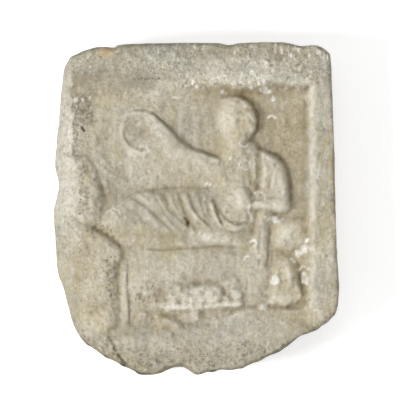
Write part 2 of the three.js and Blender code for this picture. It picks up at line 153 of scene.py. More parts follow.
class Face:
    """The points of the carved face, and the shapes that can be raised on it."""

    def __init__(self, x, z):
        self.x, self.z = x, z

    def nearest(self, points, reach):
        """The points within reach of a curve: their index, distance, side and share of its length."""
        curve = spline(points)
        low, high = curve.min(0) - reach, curve.max(0) + reach
        within_x = (self.x > low[0]) & (self.x < high[0])
        within_z = (self.z > low[1]) & (self.z < high[1])
        index = np.nonzero(within_x & within_z)[0]
        x, z = self.x[index], self.z[index]
        steps = np.diff(curve, axis=0)
        lengths = np.hypot(*steps.T)
        starts = np.cumsum(lengths) - lengths
        distance, left, share = np.full(len(x), np.inf), np.zeros(len(x)), np.zeros(len(x))
        for (ax, az), (dx, dz), length, start in zip(curve, steps, lengths, starts):
            run = np.clip(((x - ax) * dx + (z - az) * dz) / length**2, 0, 1)
            ex, ez = x - ax - run * dx, z - az - run * dz
            gap = np.hypot(ex, ez)
            closer = gap < distance
            distance = np.where(closer, gap, distance)
            left = np.where(closer, dx * ez - dz * ex, left)
            share = np.where(closer, (start + run * length) / lengths.sum(), share)
        return index, distance, left > 0, share

    def limb(self, points, left, right, height, edge):
        """A rounded bar along a curve, with its own width and edge steepness on each side."""
        index, distance, on_left, share = self.nearest(points, max(np.max(left), np.max(right)))

        def at(values):
            return np.interp(share, np.linspace(0, 1, np.size(values)), np.atleast_1d(values))

        ratio = distance / np.where(on_left, at(left), at(right))
        out = np.zeros_like(self.x)
        out[index] = at(height) * np.clip(1 - ratio**2, 0, 1) ** np.where(on_left, *edge)
        return out

    def mound(self, centre, radii, height, turn=0, edge=0.6):
        """An oval swelling."""
        return height * np.clip(1 - oval(self.x, self.z, centre, radii, turn), 0, 1) ** edge

    def stroke(self, points, width, height, fade=0.18):
        """A soft line along a curve: a fold's crest, or its valley where the height is below zero."""
        index, distance, _, share = self.nearest(points, STROKE_REACH * width)
        ends = smooth(share / fade) * smooth((1 - share) / fade) if fade else 1
        out = np.zeros_like(self.x)
        out[index] = height * ends * np.exp(-((distance / width) ** 2))
        return out

    def panel(self, points, height, shoulder):
        """A flat area inside a closed curve, with a rounded shoulder."""
        curve = spline(points, closed=True)
        gap, inside = np.full(len(self.x), np.inf), np.zeros(len(self.x), bool)
        for (ax, az), (bx, bz) in zip(curve, curve[1:]):
            dx, dz = bx - ax, bz - az
            run = np.clip(((self.x - ax) * dx + (self.z - az) * dz) / (dx * dx + dz * dz), 0, 1)
            gap = np.minimum(gap, np.hypot(self.x - ax - run * dx, self.z - az - run * dz))
            if az != bz:
                crosses = (az > self.z) != (bz > self.z)
                inside ^= crosses & (self.x < ax + (self.z - az) / (bz - az) * dx)
        share = np.clip(gap / shoulder, 0, 1)
        return np.where(inside, height * (1 - (1 - share) ** 2), 0)


# Noise over the face
NOISE_WIDTH, NOISE_HEIGHT = 160, 180


def noise_sheet(seed, cells, shape):
    """Seeded smooth unevenness with one standard deviation of height, at a wavelength in cells."""
    spectrum = np.fft.rfft2(np.random.default_rng(seed).standard_normal(shape))
    across, up = np.fft.rfftfreq(shape[1]), np.fft.fftfreq(shape[0])
    frequency = np.hypot(across[None, :], up[:, None])
    values = np.fft.irfft2(spectrum * np.exp(-((frequency * cells) ** 2)), s=shape)
    return (values - values.mean()) / values.std()


def grain(seed, wavelength):
    """Unevenness over the face, from a sheet of square millimetres."""
    sheet = noise_sheet(seed, wavelength, (2 * NOISE_HEIGHT, 2 * NOISE_WIDTH))
    column, row = np.floor(x).astype(int), np.floor(z).astype(int)
    right, up = x - column, z - row
    column, row = column + NOISE_WIDTH, row + NOISE_HEIGHT
    low = sheet[row, column] * (1 - right) + sheet[row, column + 1] * right
    high = sheet[row + 1, column] * (1 - right) + sheet[row + 1, column + 1] * right
    return low * (1 - up) + high * up


def rough(*grains):
    """The sum of grains, each with a height, a seed and a wavelength."""
    return sum(height * grain(seed, wavelength) for height, seed, wavelength in grains)


def patchy(middle, swing, seed, wavelength, least=0):
    """A share that comes and goes over the face."""
    return np.clip(middle + swing * grain(seed, wavelength), least, 1)


# Carved forms. Limbs: points, widths to the left and right, heights, edges. Panels: points, height,
# shoulder. Mounds: middle, radii, height, turn, edge.
RIGHT_FOOT, TOP_FOOT, LEDGE_TOP = 105, 114, -98


def border(face):
    """The plain border, above the floor that it surrounds."""
    ragged = rough((0.9, 36, 16), (0.5, 37, 7)).ravel()
    corner = fall(face.z, -94, 16)
    right_run = 13 + 42 * corner
    right = smooth((face.x + 0.5 * ragged - RIGHT_FOOT + 30 * corner) / right_run)
    crisp = rise(face.x, -25, 60)
    top_crisp = rise(face.z + ragged, TOP_FOOT, 15)
    top_worn = 0.1 * rise(face.z, 108, 6) + 0.9 * rise(face.z, 112, 42)
    top = crisp * top_crisp + (1 - crisp) * top_worn
    ledge = LEDGE_TOP - 14 * fall(face.x, 70, 80)
    step_run = 4 + 16 * fall(face.x, 40, 50)
    step = 0.34 * fall(face.z, ledge, step_run)
    bottom = step + 0.38 * fall(face.z, ledge, 32) * (1 + 0.7 * rise(face.x, 52, 60))
    left = 0.14 * fall(face.x, -104, 20) * rise(face.z, 36, 30)
    return RECESS * np.maximum.reduce([right, top, bottom, left])


def couch(face):
    outline = [(-70, -40), (0, -41), (72, -39), (72, -70), (60, -88), (-60, -88), (-68, -70)]
    front = face.panel(outline, 3, 18)
    mattress = face.limb(
        [(-72, -32), (-40, -33), (20, -31.5), (66, -31)],
        [9, 11, 11, 10], [6, 8, 8.5, 8], [1.6, 2.2, 2.7, 2.4], (0.9, 0.35),
    )
    leg = face.limb([(-71.3, -36), (-71.3, -70), (-71.3, -118)], 4.3, 4.3, [1.8, 2.4, 3], (0.3, 0.25))
    return joined(1.2, front, mattress, leg)


def reclining_body(face):
    legs = face.limb(
        [(-78, -8), (-45, -6), (-5, -6), (40, -6)],
        [18, 24, 25, 26], [20, 24, 26, 26], [6, 8.5, 9.5, 10], (0.8, 0.8),
    )
    knee = face.mound((-42, 2), (26, 15), 9.5, -20, 1)
    trunk = face.limb(
        [(44, 46), (39, 22), (40, -2)], [24, 23, 23], [24, 28, 28], [11, 11.5, 10.5], (0.5, 0.8),
    )
    belly = face.mound((38, 6), (24, 22), 12, 0, 0.45)
    return joined(4, legs, knee, trunk, belly)


WREATH_CENTRE = (-54.3, 75.8)
WREATH_RADIUS = 20.2
WREATH_POINTS = 17
WREATH_START = 0.6


def raised_arm(face):
    arm = face.limb(
        [(36, 39), (25, 40), (14, 42), (1, 47), (-12, 54), (-32, 74.5), (-44, 87)],
        [22, 23, 24, 22, 19, 16, 12], [12, 11, 10, 9.2, 8.8, 8.5, 8],
        [10, 10, 9.5, 9, 8.5, 8, 6.5], (1.4, 0.38),
    )
    middle_x, middle_z = WREATH_CENTRE
    angles = np.linspace(WREATH_START, WREATH_START + 2 * math.pi, WREATH_POINTS)
    ring = [
        (middle_x + WREATH_RADIUS * math.cos(angle), middle_z + WREATH_RADIUS * math.sin(angle))
        for angle in angles
    ]
    wreath = face.stroke(ring, 5, 3.3, 0)
    disc = face.mound(WREATH_CENTRE, (23, 23), 2.2, 0, 0.5)
    hand = face.mound((-37, 79), (13, 9), 7, -45, 0.7)
    return joined(1.6, arm, wreath, disc, hand)


def left_arm(face):
    sleeve = [
        (62, 58), (72, 57), (81, 52), (89, 43), (92, 28), (94.5, 9), (95, 1), (88, -6), (72, -4), (62, 8),
        (61, 34),
    ]
    back_of_hand = [
        (38, 23), (48, 24.5), (53, 17), (57.5, 8), (59, 0), (52, -6), (43, -4), (37, 3.5), (35, 13),
    ]
    upper = face.panel(sleeve, 10.5, 7)
    fore = face.limb(
        [(88, 2), (76, 2.5), (58, 3)], [6.5, 7, 6.5], [7, 9, 8], [10.5, 12.8, 12.8], (0.6, 0.8),
    )
    hand = face.panel(back_of_hand, 14.5, 6)
    knuckles = face.mound((46, 6), (10, 12), 15.5, 25, 0.5)
    wrist = face.mound((61.5, 12), (8, 9), 10, 0, 0.7)
    return joined(2, upper, fore, wrist, joined(3, hand, knuckles))


HAIR_ROLL = [(26, 105), (38, 107), (49, 103), (55.5, 94), (56, 83), (52, 73)]


def head(face):
    neck = face.limb(
        [(40, 76), (41, 64), (42, 50)], [13, 12.5, 16], [20, 21, 23], [12, 12, 11], (0.6, 1.1),
    )
    soft_side = 0.36 + 0.5 * fall(face.x, 46, 22)
    skull = face.mound((39.5, 88), (22, 24), 14, 0, soft_side)
    hair = face.limb(
        HAIR_ROLL, [4, 5, 5, 5, 5, 4], [12, 16, 18, 16, 14, 9],
        [4, 9, 13, 14, 13, 8], (0.4, 1.2),
    )
    return joined(2, neck, skull, hair)


def seated_figure(face):
    trunk = [
        (-150, 50), (-114, 54), (-106, 46), (-99, 35), (-94, 20), (-92.5, 8), (-93, -4), (-98, -16),
        (-150, -16),
    ]
    lap = [
        (-150, -10), (-112, -12), (-104, -18), (-90, -30), (-80, -39), (-77.5, -50), (-78, -84),
        (-78, -104), (-79, -117), (-86, -128), (-100, -134), (-150, -142),
    ]
    thigh = face.limb([(-116, -27), (-97, -37), (-84, -48)], 11, 12, [7.5, 9.5, 9], (0.45, 0.9))
    foot = face.mound((-88, -112), (17, 17), 4.5, 0, 1)
    return joined(1.5, face.panel(trunk, 7, 13), face.panel(lap, 7.2, 15) + foot, thigh)


def hanging_cloth(face):
    return face.limb(
        [(66, -4), (65.5, -40), (64.5, -64), (63, -82)], 13, 7.5, [8, 6.5, 4, 1.5], (1.4, 0.45),
    )


# Food on the table and the table's feet: centre, radii, height, edge
TABLE_LUMPS = [
    ((-46, -82), (8, 9), 4, 0.8), ((-21, -88), (9, 9.5), 6, 0.7), ((-9, -87), (9, 9.5), 7, 0.7),
    ((4, -85), (8, 8), 10, 0.9), ((18, -86.5), (8, 9), 10.6, 0.9), ((-17, -79.5), (4.5, 4.5), 7, 0.45),
    ((43, -86.5), (6.5, 7), 6, 0.5), ((31, -92), (6, 4), 4, 0.6), ((-32, -114.5), (12, 6), 4, 0.6),
    ((-54, -106), (6, 4.5), 2.5, 0.6), ((-20, -117), (9, 5), 4, 0.6),
]


def table(face):
    loaf_outline = [
        (-5, -79), (4, -76), (14, -75.5), (24, -78), (27.5, -84), (27, -95), (10, -98), (-6, -96),
    ]
    loaf = face.panel(loaf_outline, 8, 5)
    top = face.limb([(-43, -97.5), (0, -97.8), (45, -96)], 4.2, 4.4, [2, 5, 5.5, 5.5], (0.8, 0.5))
    leg = face.limb([(0, -98), (0, -106), (0.5, -112)], 4.4, 4.4, [5.5, 5, 3], (0.4, 0.4))
    lumps = [face.mound(centre, radii, height, edge=edge) for centre, radii, height, edge in TABLE_LUMPS]
    return joined(2, top, loaf, leg, *lumps)


def attendant(face):
    block = [(78, -12), (92, -8.5), (110, -10), (115, -24), (112, -38), (98, -44), (80, -42), (75, -27)]
    body = [
        (78, -58), (84, -50), (92, -48.5), (99, -54), (102, -64), (103, -72), (108, -84), (107, -92),
        (96, -97), (80, -97), (72, -90), (74, -72),
    ]
    upper = face.panel(block, 8.4, 12)
    swelling = face.mound((91, -24), (10, 14), 10.6, -35, 0.8)
    lower = face.panel(body, 7, 8)
    ridge = face.mound((94, -65), (6, 11), 10.8, 6, 0.7)
    near_foot = face.mound((78, -92), (5, 5.5), 8)
    far_foot = face.mound((88.5, -91), (8.5, 7), 9.5)
    knob = face.mound((67, -98.5), (5.5, 5), 6, 25, 0.7)
    return joined(2.4, upper, swelling, lower, ridge, near_foot, far_foot, knob)


# Folds and cut lines: points, width, height
FOLD_VALLEYS = [
    ([(-72, -1), (-63, -4), (-56, -11), (-50, -18)], 2.6, -1.6),
    ([(-70, 14), (-62, 8.5), (-54, 3), (-46, -3), (-38, -10.5), (-30, -17), (-20, -28)], 1.7, -2.6),
    ([(-60, 18), (-52, 12), (-46, 6)], 2.2, -1.4),
    ([(-47, 16), (-39, 7), (-30, -6), (-20, -18), (-10, -26)], 1.8, -1.5),
    ([(-36, 16), (-30, 9), (-26, 0), (-20, -8)], 2.2, -1.7),
    ([(-24, 2), (-16, -9), (-10, -17), (-5, -24)], 2, -2.2),
    ([(-19, 19), (-13, 6), (-10, -2), (-6, -11), (-2, -20), (3, -28)], 2.1, -3),
    ([(-9, 18), (-3, 7), (1, -3), (5, -10), (11, -16), (20, -27)], 1.7, -2.5),
    ([(4, 14), (7, 2), (10, -8), (16, -15)], 1.7, -1.7),
    ([(12, 16), (12.5, 4), (13.5, -6), (17, -13)], 1.5, -2),
    ([(16, 15), (18, 8), (20, 2), (23, -7), (28, -18), (36, -25)], 1.7, -3),
    ([(20, 6), (22.5, 0), (26, -5.5), (31, -10.5), (38, -14.5), (46, -15.5), (57, -13)], 1.8, -4.2),
]
FOLD_CRESTS = [
    ([(-11, 14), (-5, 1), (1, -10), (10, -19), (22, -26)], 1.9, 1.2),
    ([(14, 8), (17, -3), (22, -13), (30, -20), (42, -20.5), (52, -17)], 2.4, 2.2),
    ([(-41, 13), (-34, 2), (-26, -10)], 2.2, 1),
    ([(-28, 14), (-20, 0), (-12, -13)], 2.2, 1.2),
    ([(-60, 2), (-48, -9), (-38, -20)], 3, 1.1),
    ([(59, 54), (59.5, 40), (60, 26)], 2, 1.3),
    ([(70, 50), (70, 34), (69, 18)], 2.2, 0.7),
    ([(80, 42), (78, 28), (77, 16)], 2.4, 0.9),
]
CUT_LINES = [
    ([(-67, 97), (-56, 98.5), (-46, 96.5), (-38, 91.5), (-26, 80), (-6, 59.5), (4, 55.5), (16, 52),
      (27, 51)], 1.2, -1.9),
    ([(-71.5, 79), (-71, 71.5), (-68, 65.5), (-62.5, 61), (-55.5, 59), (-48, 60.5)], 1.7, -2.3),
    ([(-69, 95), (-60, 98.7), (-51, 99), (-42.5, 96), (-33, 86.5), (-25, 79)], 1.2, -1.6),
    ([(36, 113), (47, 110.5), (55, 104), (60.5, 97), (62.5, 90), (61.5, 81), (58, 74), (54, 68)],
     1.8, -1.4),
    ([(54, 67), (62, 60), (69, 56.5), (78, 54.5), (86, 50), (91, 41), (93.5, 28), (95.5, 12), (96, 2)],
     1.8, -1.3),
    ([(-113, 50), (-106, 47.5), (-98, 36.5), (-93.5, 21.5), (-91.3, 8.5), (-92, -4)], 1.4, -1.3),
    ([(74, -16), (74, -40), (72.5, -62)], 1.5, -2.4),
    ([(36, 6), (42, 4), (50, -1)], 0.9, -1),
    ([(36, 11), (43, 9.5), (51, 4)], 0.9, -1),
    ([(-68, 14), (-40, 18.5), (-10, 20), (10, 19.5)], 0.9, -1.1),
    ([(-59, -34.5), (-52, -39.5), (-36, -41.5), (-6, -41), (34, -39.5), (58, -36)], 0.9, -1.7),
    ([(-75.6, -46), (-75.6, -84), (-75.6, -114)], 1, -0.5),
    ([(-66.8, -44), (-66.8, -84), (-66.8, -119)], 1, -1.6),
    ([(-8, -76), (4, -73.5), (16, -73), (26, -76), (30, -83), (29.5, -93)], 2.2, -2),
    ([(80, -46), (92, -46.5), (101, -51), (105, -60), (104.5, -68), (108, -82)], 1.6, -1.6),
    ([(86.5, -56), (85, -66), (86.5, -78)], 1.5, -1.4),
    ([(97.5, -58), (99, -68), (97.5, -80)], 1.4, -1),
    ([(60, 64), (65, 56), (65, 36), (64.5, 22)], 1.8, -2),
    ([(54, 52), (54.5, 36), (56, 22)], 1.8, -1.4),
    ([(83, 47), (79, 38), (74.5, 26), (72, 12)], 1.1, -1.3),
    ([(68, 9.8), (78, 10), (90, 9)], 1.4, -2),
    ([(47, 27), (53.5, 18), (57.5, 9)], 1.2, -1.8),
    ([(65, -12), (65, -30), (64, -62)], 1.4, -1.4),
    ([(24, -24), (38, -25.5), (56, -23)], 2, -1.3),
    ([(-37, -105.5), (-24, -107), (-8, -105.5)], 3, -3),
    ([(6, -105), (14, -107), (24, -105)], 2.6, -1.8),
]
# Each list with the shares of width and height left by wear
LINE_GROUPS = [(FOLD_VALLEYS, 0.78, 0.68), (FOLD_CRESTS, 0.9, 1.15), (CUT_LINES, 1, 0.8)]

# A worn face, calm and full front, divided in equal thirds from the chin to the hair
FACE_MIDDLE = 38.5
CHIN = 67.5
FACE_THIRD = 12
NOSE_BASE = CHIN + FACE_THIRD
BROW = NOSE_BASE + FACE_THIRD
HAIRLINE = BROW + FACE_THIRD
MOUTH = NOSE_BASE - FACE_THIRD / 3
EYE_LINE = BROW - FACE_THIRD / 4
EYE_INNER, EYE_OUTER = 2.6, 8.6
BROW_HALF, MOUTH_HALF = 8.5, 5
FACE_SHARE = 0.85

# Locks of hair from root to tip: share of the hair's radii, bend in radians
HAIR_MIDDLE = (39, 88)
HAIR_RADII = (22, 25)
HAIR_STRANDS = 8
LOCK = ((0.62, 0), (0.82, 0.12), (1.03, 0.34))


def level_line(z, near, far):
    """The two ends of a line across the face, at distances from its middle."""
    return [(FACE_MIDDLE + near, z), (FACE_MIDDLE + far, z)]


def face_lines(face):
    nose = [(FACE_MIDDLE, BROW), (FACE_MIDDLE, NOSE_BASE)]
    parts = [
        face.mound((FACE_MIDDLE, (CHIN + HAIRLINE) / 2), (12.5, 18.5), -1, 0, 0.5),
        face.stroke(nose, 1.9, 2.1, 0.25),
        face.stroke(level_line(BROW, -BROW_HALF, BROW_HALF), 1.7, 0.8, 0.3),
        face.stroke(level_line(MOUTH, -MOUTH_HALF, MOUTH_HALF), 1.1, -1, 0.3),
        face.mound((FACE_MIDDLE, CHIN + 2), (6, 4.5), 0.9, 0, 1),
    ]
    for side in (-1, 1):
        eye = level_line(EYE_LINE, side * EYE_INNER, side * EYE_OUTER)
        parts.append(face.stroke(eye, 2.1, -1.7, 0.3))
    for strand in range(HAIR_STRANDS):
        angle = math.radians(80 - 17 * strand + 6 * math.sin(2.7 * strand))
        lock = []
        for share, bend in LOCK:
            lock_x = HAIR_MIDDLE[0] + share * HAIR_RADII[0] * math.cos(angle - bend)
            lock_z = HAIR_MIDDLE[1] + share * HAIR_RADII[1] * math.sin(angle - bend)
            lock.append((lock_x, lock_z))
        width, depth = 1.2 + 0.3 * (strand % 2), 1.4 + 0.5 * (strand % 3)
        parts.append(face.stroke(lock, width, -depth, fade=0.3))
    return sum(parts)


# The face of the slab as a grid of rows and columns


def face_grid():
    """x and z over the grid, blended from the outline's four sides."""
    u, v = np.linspace(0, 1, COLUMNS + 1)[None, :, None], np.linspace(0, 1, ROWS + 1)[:, None, None]
    bottom, top = spaced(BOTTOM_SIDE, COLUMNS + 1)[None], spaced(TOP_SIDE, COLUMNS + 1)[None]
    left, right = spaced(LEFT_SIDE, ROWS + 1)[:, None], spaced(RIGHT_SIDE, ROWS + 1)[:, None]
    low_corners = (1 - u) * bottom[:, :1] + u * bottom[:, -1:]
    high_corners = (1 - u) * top[:, :1] + u * top[:, -1:]
    corners = (1 - v) * low_corners + v * high_corners
    return (1 - u) * left + u * right + (1 - v) * bottom + v * top - corners


def soften(values, passes):
    """Values averaged with their neighbours over the grid."""
    for _ in range(passes):
        for axis in (0, 1):
            padded = np.pad(values, [(1, 1) if a == axis else (0, 0) for a in (0, 1)], "edge")
            before, after = (np.take(padded, range(k, k + values.shape[axis]), axis) for k in (0, 2))
            values = (before + 2 * values + after) / 4
    return values


# The outline strays a little, and more along the broken lower edge
OUTLINE_STRAY = 0.12
BROKEN_STRAY = 0.4
BROKEN_ROWS = 3
STRAY_LENGTH = 13

place = face_grid()
grid_shape = place.shape[:2]
x, z = place[..., 0], place[..., 1]
row_numbers = np.arange(ROWS + 1)[:, None]
chipped = OUTLINE_STRAY + BROKEN_STRAY * np.exp(-((row_numbers / BROKEN_ROWS) ** 2))
x, z = x + chipped * grain(61, STRAY_LENGTH), z + chipped * grain(62, STRAY_LENGTH)
ground = Face(x.ravel(), z.ravel())

# The carver's hand: every form strays a little from its drawing
stray_x = rough((0.7, 31, 45), (0.12, 32, 14))
stray_z = rough((0.7, 33, 45), (0.12, 34, 14))
carving = Face((x + stray_x).ravel(), (z + stray_z).ravel())

FORMS = (
    couch, reclining_body, raised_arm, left_arm, head, seated_figure, hanging_cloth, table, attendant,
)
FORM_BLEND = 1.5
BORDER_BLEND = 2.5
figures = joined(FORM_BLEND, *(form(carving) for form in FORMS))
forms = (FLOOR + merge(border(carving), figures, BORDER_BLEND)).reshape(grid_shape)
lines = FACE_SHARE * face_lines(carving)
for group, width_share, height_share in LINE_GROUPS:
    for points, width, height in group:
        lines = lines + carving.stroke(points, width_share * width, height_share * height)
lines = lines.reshape(grid_shape)


# Weather: forms worn soft, and more so below the couch
WORN_EVERYWHERE = 0.12
WORN_BELOW = 0.12
WORN_PASSES = 12
LINE_WEAR = 0.4

worn = WORN_EVERYWHERE + 0.16 * grain(35, 28) + WORN_BELOW * fall(z, -74, 16)
worn = np.clip(worn, 0, 1)
sharp_forms = soften(forms, 1)
soft_forms = soften(forms, WORN_PASSES)
carved = sharp_forms + (soft_forms - sharp_forms) * worn + lines * (1 - LINE_WEAR * worn)


def spot(centre, radii, turn=0):
    """A soft oval share around a place, from one at its middle to nothing."""
    return np.exp(-oval(x, z, centre, radii, turn))


def box_share(low, high, edge):
    """One inside a box of the face and nothing outside, with a soft edge."""
    across = smooth((x - low[0]) / edge + 0.5) * smooth((high[0] - x) / edge + 0.5)
    return across * smooth((z - low[1]) / edge + 0.5) * smooth((high[1] - z) / edge + 0.5)


def line_share(points, width):
    """One along a curve and nothing beside it."""
    return ground.stroke(points, width, 1, 0.1).reshape(grid_shape)


def edge_gap(side, reach):
    """Distance from a side, up to a reach."""
    index, distance, _, _ = ground.nearest(side, reach)
    gap = np.full(len(ground.x), reach)
    gap[index] = np.minimum(distance, reach)
    return gap.reshape(grid_shape)


def edge_share(side, width):
    """One at a side and nothing beyond a width."""
    return 1 - smooth(edge_gap(side, width + 1) / width)


def strongest(boxes=(), ovals=(), shares=(), least=0):
    """The strongest of boxes (strength, corners, edge), ovals (strength, middle, radii, turn), shares."""
    layers = [strength * box_share(low, high, edge) for strength, low, high, edge in boxes]
    layers += [strength * spot(*place) for strength, *place in ovals]
    return np.maximum(np.maximum.reduce([*layers, *shares]), least)


# Uneven ground, with lumps in the worn forms and a rougher crust
CRUST_ROUGHNESS = 0.5

crust = strongest(
    boxes=[
        (1, (-150, -150), (-76, 48), 14), (0.8, (-62, -122), (48, -76), 12),
        (0.6, (70, -100), (112, -8), 12), (0.5, (18, -20), (96, 112), 16),
    ],
    shares=[0.5 * rise(z, 122, 14)],
)
lumpy = strongest(boxes=[
    (1, (-32, -100), (30, -76), 8), (0.7, (-58, -122), (-6, -76), 10), (0.6, (72, -98), (108, -48), 10),
    (0.5, (-122, 0), (-92, 50), 12), (0.45, (56, -8), (94, 12), 8),
])
uneven = rough((0.5, 1, 40), (0.28, 2, 14)) + lumpy * rough((0.5, 6, 8), (0.25, 8, 4))
fine = rough((0.21, 3, 6), (0.15, 4, 3.2))
surface = carved + uneven + (1 + CRUST_ROUGHNESS * crust) * fine


# Pits where the stone is speckled, and strips with a count of pits
PIT_TRIES = 2600
PIT_CELLS = 6
PITTED_STRIPS = [
    ((-117, -6), (-108, 48), 100), ((-90, -88), (-79, -48), 40), ((-124, 84), (-104, 112), 80),
    ((-123, 40), (-118, 92), 45), ((-62, -94), (-34, -72), 22), ((-104, -30), (-82, -18), 24),
    ((52, 142), (112, 160), 40), ((-76, -160), (24, -140), 60), ((24, -156), (100, -134), 24),
]

speckled = strongest(
    boxes=[
        (0.6, (-96, -80), (-78, -28), 8), (1, (-125, 84), (-102, 112), 6),
        (0.6, (-126, 108), (-98, 160), 8), (1, (-124, 40), (-117, 90), 4),
        (0.8, (-119, -8), (-108, 20), 6),
    ],
    ovals=[(0.9, (-112, 22), (4, 22))],
    shares=[
        0.25 * crust, 0.9 * fall(z, -122, 24), 1.3 * edge_share(BOTTOM_SIDE, 8), 0.8 * rise(z, 118, 16),
        0.4 * fall(x, -100, 14),
    ],
    least=0.1,
)
chance = np.random.default_rng(41)
pits = np.zeros(grid_shape)
for _ in range(PIT_TRIES):
    row, column = chance.integers(2, ROWS - 1), chance.integers(2, COLUMNS - 1)
    radius = 0.7 + 0.9 * chance.random() ** 3
    depth = 0.2 + 0.7 * chance.random()
    if chance.random() < speckled[row, column]:
        near = tuple(slice(max(cell - PIT_CELLS, 0), cell + PIT_CELLS + 1) for cell in (row, column))
        gap = np.hypot(x[near] - x[row, column], z[near] - z[row, column])
        pits[near] = np.maximum(pits[near], depth * np.exp(-((gap / radius) ** 2)))
for low, high, count in PITTED_STRIPS:
    for _ in range(count):
        centre = low + (np.array(high) - low) * chance.random(2)
        radius = 0.75 + 0.5 * chance.random()
        depth = 0.5 + 0.9 * chance.random()
        pits = np.maximum(pits, depth * spot(centre, (radius, 1.2 * radius)))


# A row of drill marks, the drill hole, a gash, a crack and a hollow
MARK_COUNT = 8
MARK_START = (-61, 129)
MARK_STEP = 3.4
MARK_RADII = (0.95, 0.7)
MARK_DEPTH = 1.7
HOLE_DEPTH, GASH_DEPTH, CRACK_DEPTH, HOLLOW_DEPTH = 4.5, 2.8, 2, 1.6
CRACK = [(-88, -126), (-85, -132), (-82, -138), (-78, -146), (-72, -154), (-66, -160)]

for mark in range(MARK_COUNT):
    mark_x = MARK_START[0] + MARK_STEP * mark + 0.5 * (mark % 2)
    mark_z = MARK_START[1] + 0.4 * (mark % 3)
    pits = np.maximum(pits, MARK_DEPTH * spot((mark_x, mark_z), MARK_RADII))
drill_hole = strongest(ovals=[(1, (-8, -14.5), (1.6, 3.4), 14), (0.7, (-10, -11), (1.2, 2.4), 40)])
gash = line_share([(-114.5, 82), (-113, 79), (-111, 76.5)], 0.75)
crack = line_share(CRACK, 1.4) * patchy(0.7, 0.35, 42, 4, least=0.2)
left_hollow = spot((-117, -64), (6, 18))
surface = surface - pits - HOLE_DEPTH * drill_hole - GASH_DEPTH * gash
surface = surface - CRACK_DEPTH * crack - HOLLOW_DEPTH * left_hollow


# Lime left in rings, patches, runs and smears
LIME_RINGS = [(48, 65, 4.2), (49, 43, 5.2), (63, 11, 5.8)]
LIME_PATCHES = [
    ((27, 116), (3, 2.2), -30), ((70, 117), (5.5, 3.6), -20), ((77, 110), (2.2, 3), 20),
    ((79, -11), (7, 3), -8), ((106, -43), (5, 8), -38), ((110, -32), (4, 3), 20),
    ((109, -71), (3.8, 6.5), 8), ((79, -73), (5, 5), 0), ((69, -98.5), (4, 4), 0),
    ((63, -49), (2, 2.4), 0),
]
LIME_RUNS = [
    [(71, 90), (76, 92.5), (81, 89)], [(-24, 110.5), (-20, 111), (-17, 109)], [(8, 21), (12, 26)],
    [(13, 22), (15, 25)], [(54, 5), (53, -4), (58, -14)], [(36, 52), (33, 48)],
    [(52.5, -35.5), (58, -32), (60, -36.5), (54, -41)], [(48, -55), (49, -49.5), (54, -48)],
    [(102, -64), (107, -59), (113, -61), (117, -66)], [(94, -50), (100, -55)],
    [(66, 54), (72, 50), (78, 47)],
]
LIME_SMEARS = [(4, -27), (12, -29), (19, -30), (25, -32)]
SMEAR_RADII = (7, 3.2)
RING_WIDTH, RUN_WIDTH = 0.8, 1.1
RING_FLATNESS = 1.1
LIME_HEIGHT = 0.4

ring_stray = 1 + 0.06 * grain(54, 8)
patch_stray = 0.13 * grain(52, 4.5)
traces = []
for at_x, at_z, radius in LIME_RINGS:
    off = (np.hypot(x - at_x, (z - at_z) * RING_FLATNESS) - radius * ring_stray) / RING_WIDTH
    traces.append(np.exp(-(off**2)) * patchy(0.6, 0.4, 51, 5))
for patch in LIME_PATCHES:
    nearness = spot(*patch)
    nearness = nearness + patch_stray * (nearness > 0.1)
    traces.append(rise(nearness, 0.3, 0.28) * patchy(0.85, 0.25, 56, 5))
for points in LIME_RUNS:
    traces.append(line_share(points, RUN_WIDTH) * patchy(0.8, 0.4, 53, 4))
for centre in LIME_SMEARS:
    traces.append(0.8 * spot(centre, SMEAR_RADII) * patchy(0.35, 0.5, 55, 4))
lime = strongest(shares=traces)
surface = surface + LIME_HEIGHT * lime


# Masks from the shape: how far a point lies below or above its surroundings. Hollows carry soil and
# painted shade, raised parts wear and painted highlight
LEAST_RELIEF = 0.1
CREVICE_DEPTH = 0.75
CREST_HEIGHT = 0.9
WIDE_RELIEF = 6

even = soften(surface, 2)
below_nearest = soften(even, 4) - even
below_near = soften(even, 9) - even
below_wide = soften(even, 110) - even
# Crevices: soil and painted shade, darker where creases would hold shade
crevice = np.clip((below_nearest - LEAST_RELIEF) / CREVICE_DEPTH, 0, 1)
# Crests and wide swellings are lightened: worn stone, and a painted highlight on the raised parts
high = np.clip((-below_near - LEAST_RELIEF) / CREST_HEIGHT, 0, 1)
# Wide hollows: earth and painted shade over the sunken ground
sunk = np.clip(below_wide / WIDE_RELIEF, 0, 1)
proud = np.clip(-below_wide / WIDE_RELIEF, 0, 1)


# Worn edges (side, width, drop, seed), and a chip at the right
WORN_EDGES = [(BOTTOM_SIDE, 4.5, 7, 11), (TOP_SIDE, 3.5, 6, 12), (RIGHT_SIDE, 2.5, 4, 13)]
CHIP_DEPTH = 2.5

for side, width, drop, seed in WORN_EDGES:
    strip = width * np.clip(1 + 0.35 * grain(seed, 34) + 0.15 * grain(seed + 5, 9), 0.3, 2)
    surface = surface - drop * np.clip(1 - edge_gap(side, 2.0 * width) / strip, 0, 1) ** 2
surface = surface - CHIP_DEPTH * spot((139, 12), (5, 7))


# The broken left side: steep and sharp at the top, gentle and rounded below
GENTLE_WIDTH = 11
LEAST_WIDTH = 2
SHARP_SHARE = 0.93

